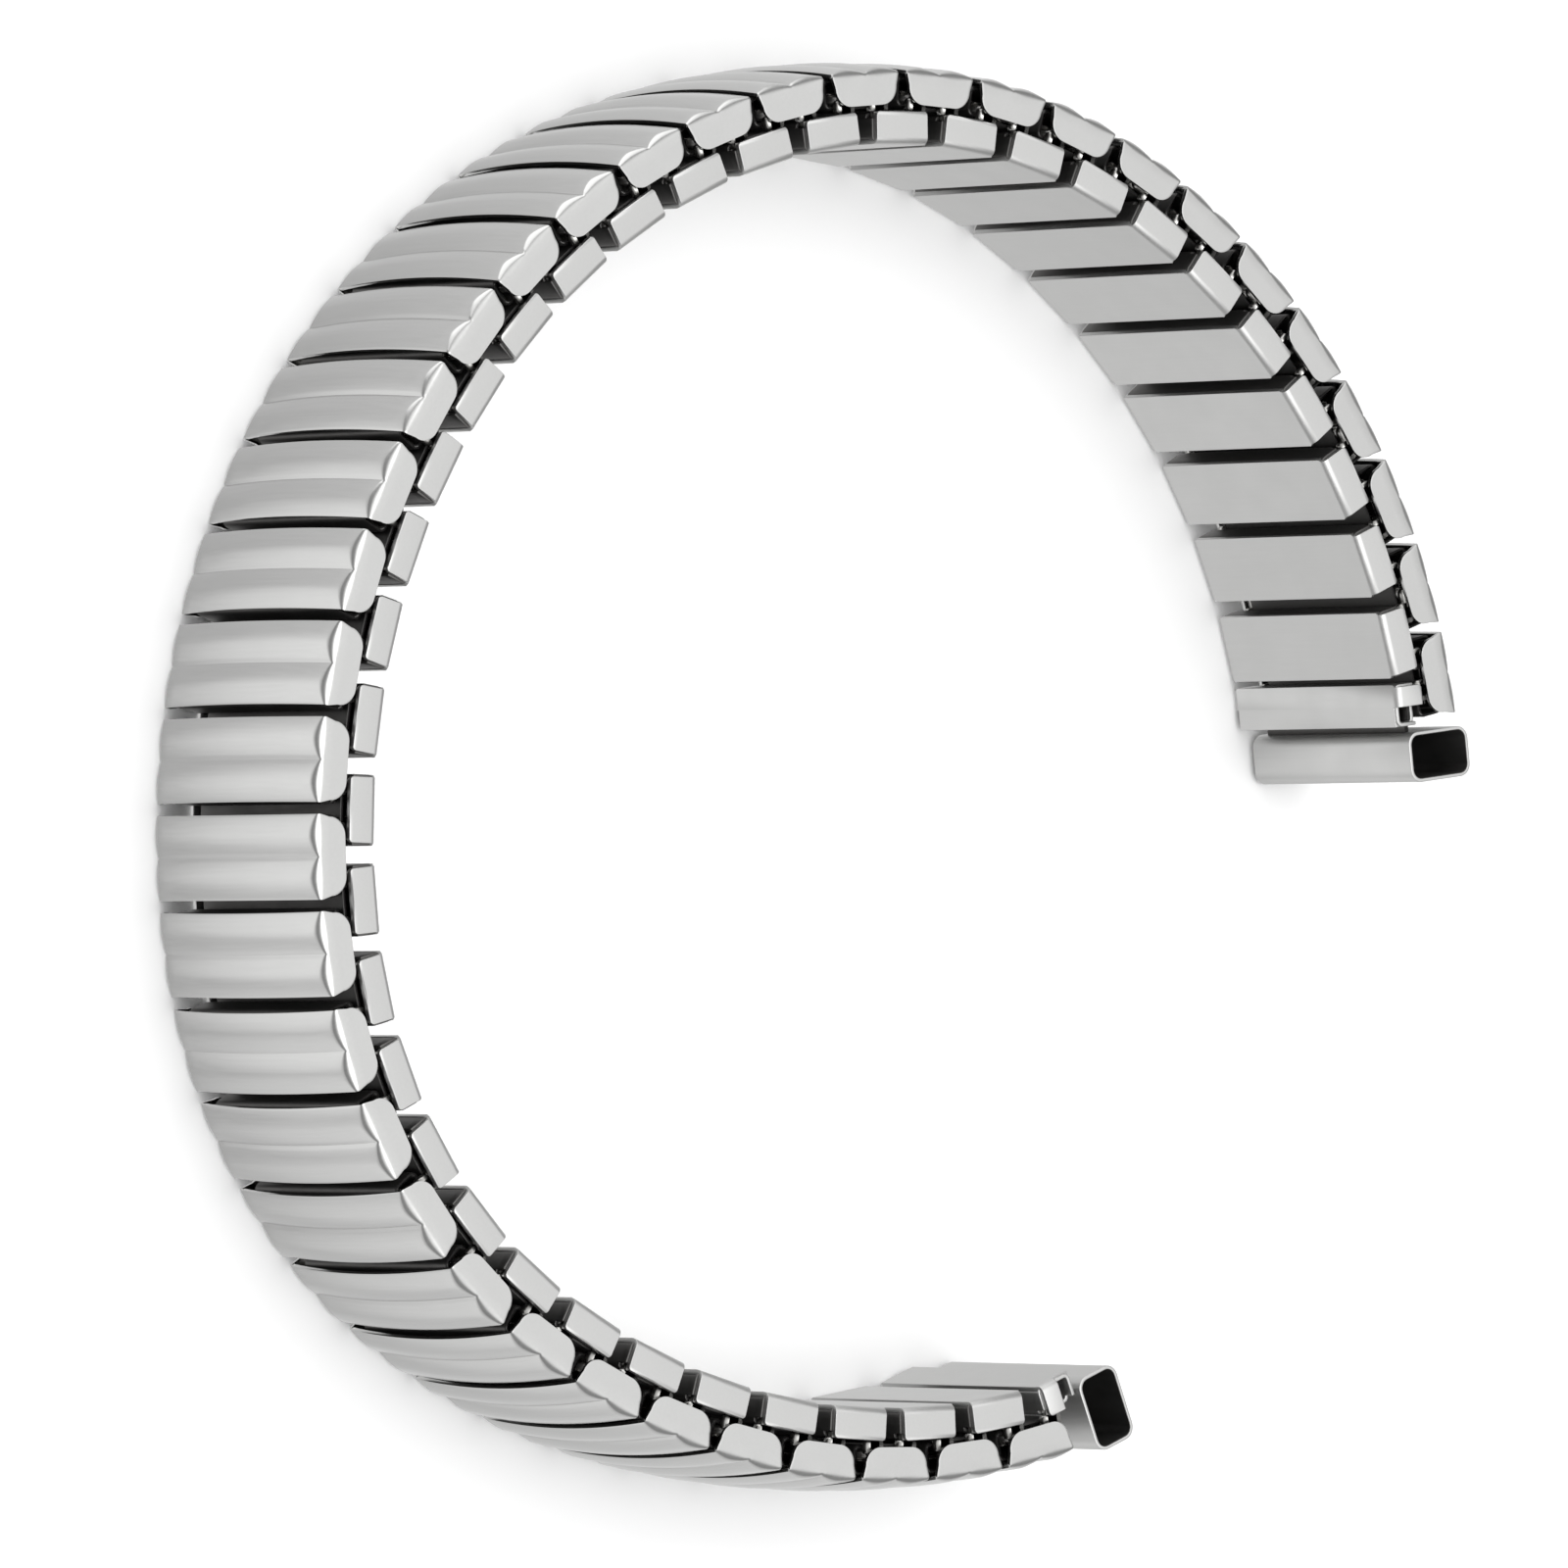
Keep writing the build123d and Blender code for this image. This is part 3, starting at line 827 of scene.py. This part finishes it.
class BAND_OT_stage(BuildOperator, bpy.types.Operator):
    """Set the floor, the lights and the photograph's camera"""

    bl_idname = "band.stage"
    bl_label = "Stage"
    # the tent's level from straight below (0) to straight above (1)
    levels = ((0.02, 0.45), (0.2, 0.68), (0.42, 0.60), (0.53, 0.26), (0.77, 0.30),
              (0.885, 0.93), (1.0, 1.0))
    # soft boxes: azimuth, elevation, full to this angle, gone at this angle, amount
    boxes = ((119, -42, 6, 30, 0.32), (191, -42, 6, 26, 0.18), (40, 6, 14, 36, 1.1),
             (125, 78, 12, 34, 1.3))

    def camera(self, stage):
        data = bpy.data.cameras.new("photo_camera")
        data.lens = stage.lens
        data.sensor_width = SENSOR_WIDTH
        data.clip_start, data.clip_end = 0.01, 5.0
        eye = add_object("photo_camera", data)
        flat = math.cos(stage.elevation)
        back = Vector((math.sin(stage.azimuth) * flat, -math.cos(stage.azimuth) * flat,
                       math.sin(stage.elevation)))
        turn = (-back).to_track_quat("-Z", "Y").to_matrix().to_4x4()
        eye.matrix_world = (Matrix.Translation(Vector(stage.aim) + back * stage.distance)
                            @ turn @ Matrix.Rotation(stage.roll, 4, "Z"))
        bpy.context.scene.camera = eye

    def tent(self, strength):
        """A white light tent: its level by height, and the soft boxes that shine through."""
        world = bpy.data.worlds.new("light_tent")
        world.use_nodes = True
        tree = world.node_tree
        tree.nodes.clear()
        way = add_node(tree, "ShaderNodeTexCoord").outputs["Generated"]
        height = add_node(tree, "ShaderNodeSeparateXYZ", {0: way}).outputs["Z"]
        share = add_node(tree, "ShaderNodeMapRange", {"Value": height, "From Min": -1.0})
        ramp = add_node(tree, "ShaderNodeValToRGB", {"Fac": share.outputs[0]})
        stops = ramp.color_ramp.elements
        stops.remove(stops[-1])
        for position, level in self.levels:
            stops.new(position).color = (level, level, level, 1)
        stops.remove(stops[0])
        total = ramp.outputs["Color"]
        for azimuth, elevation, inner, outer, amount in self.boxes:
            turn, lift = math.radians(azimuth), math.radians(elevation)
            aim = (math.cos(turn) * math.cos(lift), math.sin(turn) * math.cos(lift),
                   math.sin(lift))
            near = add_node(tree, "ShaderNodeVectorMath", {0: way, 1: aim},
                            operation="DOT_PRODUCT")
            glow = add_node(tree, "ShaderNodeMapRange",
                            {"Value": near.outputs["Value"],
                             "From Min": math.cos(math.radians(outer)),
                             "From Max": math.cos(math.radians(inner)), "To Max": amount},
                            interpolation_type="SMOOTHSTEP")
            total = add_node(tree, "ShaderNodeMath", {0: total, 1: glow.outputs[0]},
                             operation="ADD").outputs[0]
        light = add_node(tree, "ShaderNodeBackground", {"Color": total, "Strength": strength})
        add_node(tree, "ShaderNodeOutputWorld", {"Surface": light.outputs[0]})
        return world

    def floor(self, stage):
        """A pale table, clear to reflections so that the steel mirrors the tent below it."""
        bm = bmesh.new()
        bmesh.ops.create_grid(bm, x_segments=1, y_segments=1, size=stage.floor_reach)
        mesh = mesh_of(bm, "floor")
        # uncoated white paper: matt and even, with hardly any sheen
        paper = bpy.data.materials.new("pale_paper")
        paper.use_nodes = True
        shader = paper.node_tree.nodes["Principled BSDF"]
        shader.inputs["Base Color"].default_value = (*stage.floor, 1)
        shader.inputs["Roughness"].default_value = 0.9
        shader.inputs["Specular IOR Level"].default_value = 0.1
        mesh.materials.append(paper)
        floor = add_object("floor", mesh)
        floor.visible_glossy = False
        floor.visible_shadow = False

    def execute(self, context):
        stage = sizes("band_stage")
        context.scene.world = self.tent(stage.tent)
        context.scene.view_settings.view_transform = "Standard"
        self.camera(stage)
        self.floor(stage)
        return {"FINISHED"}


OPERATORS = [
    BAND_OT_covers, BAND_OT_outer_sleeves, BAND_OT_inner_links, BAND_OT_springs,
    BAND_OT_staples, BAND_OT_end_pieces, BAND_OT_stage,
]


class BAND_PT_panel(bpy.types.Panel):
    """Sizes and build steps of the watch band"""

    bl_idname = "BAND_PT_panel"
    bl_label = "Watch band"
    bl_space_type = "VIEW_3D"
    bl_region_type = "UI"
    bl_category = "Watch band"

    def draw(self, context):
        for operator in OPERATORS:
            self.layout.operator(operator.bl_idname)
        for key, group in GROUPS.items():
            box = self.layout.box()
            for name in group.__annotations__:
                box.prop(sizes(key), name)


def register():
    for key, group in GROUPS.items():
        bpy.utils.register_class(group)
        setattr(bpy.types.Scene, key, PointerProperty(type=group))
    for operator in [*OPERATORS, BAND_PT_panel]:
        bpy.utils.register_class(operator)


def unregister():
    for operator in reversed([*OPERATORS, BAND_PT_panel]):
        bpy.utils.unregister_class(operator)
    for key, group in reversed(GROUPS.items()):
        delattr(bpy.types.Scene, key)
        bpy.utils.unregister_class(group)


def main():
    register()
    for operator in OPERATORS:
        group, name = operator.bl_idname.split(".")
        getattr(getattr(bpy.ops, group), name)()


if __name__ == "__main__":
    main()
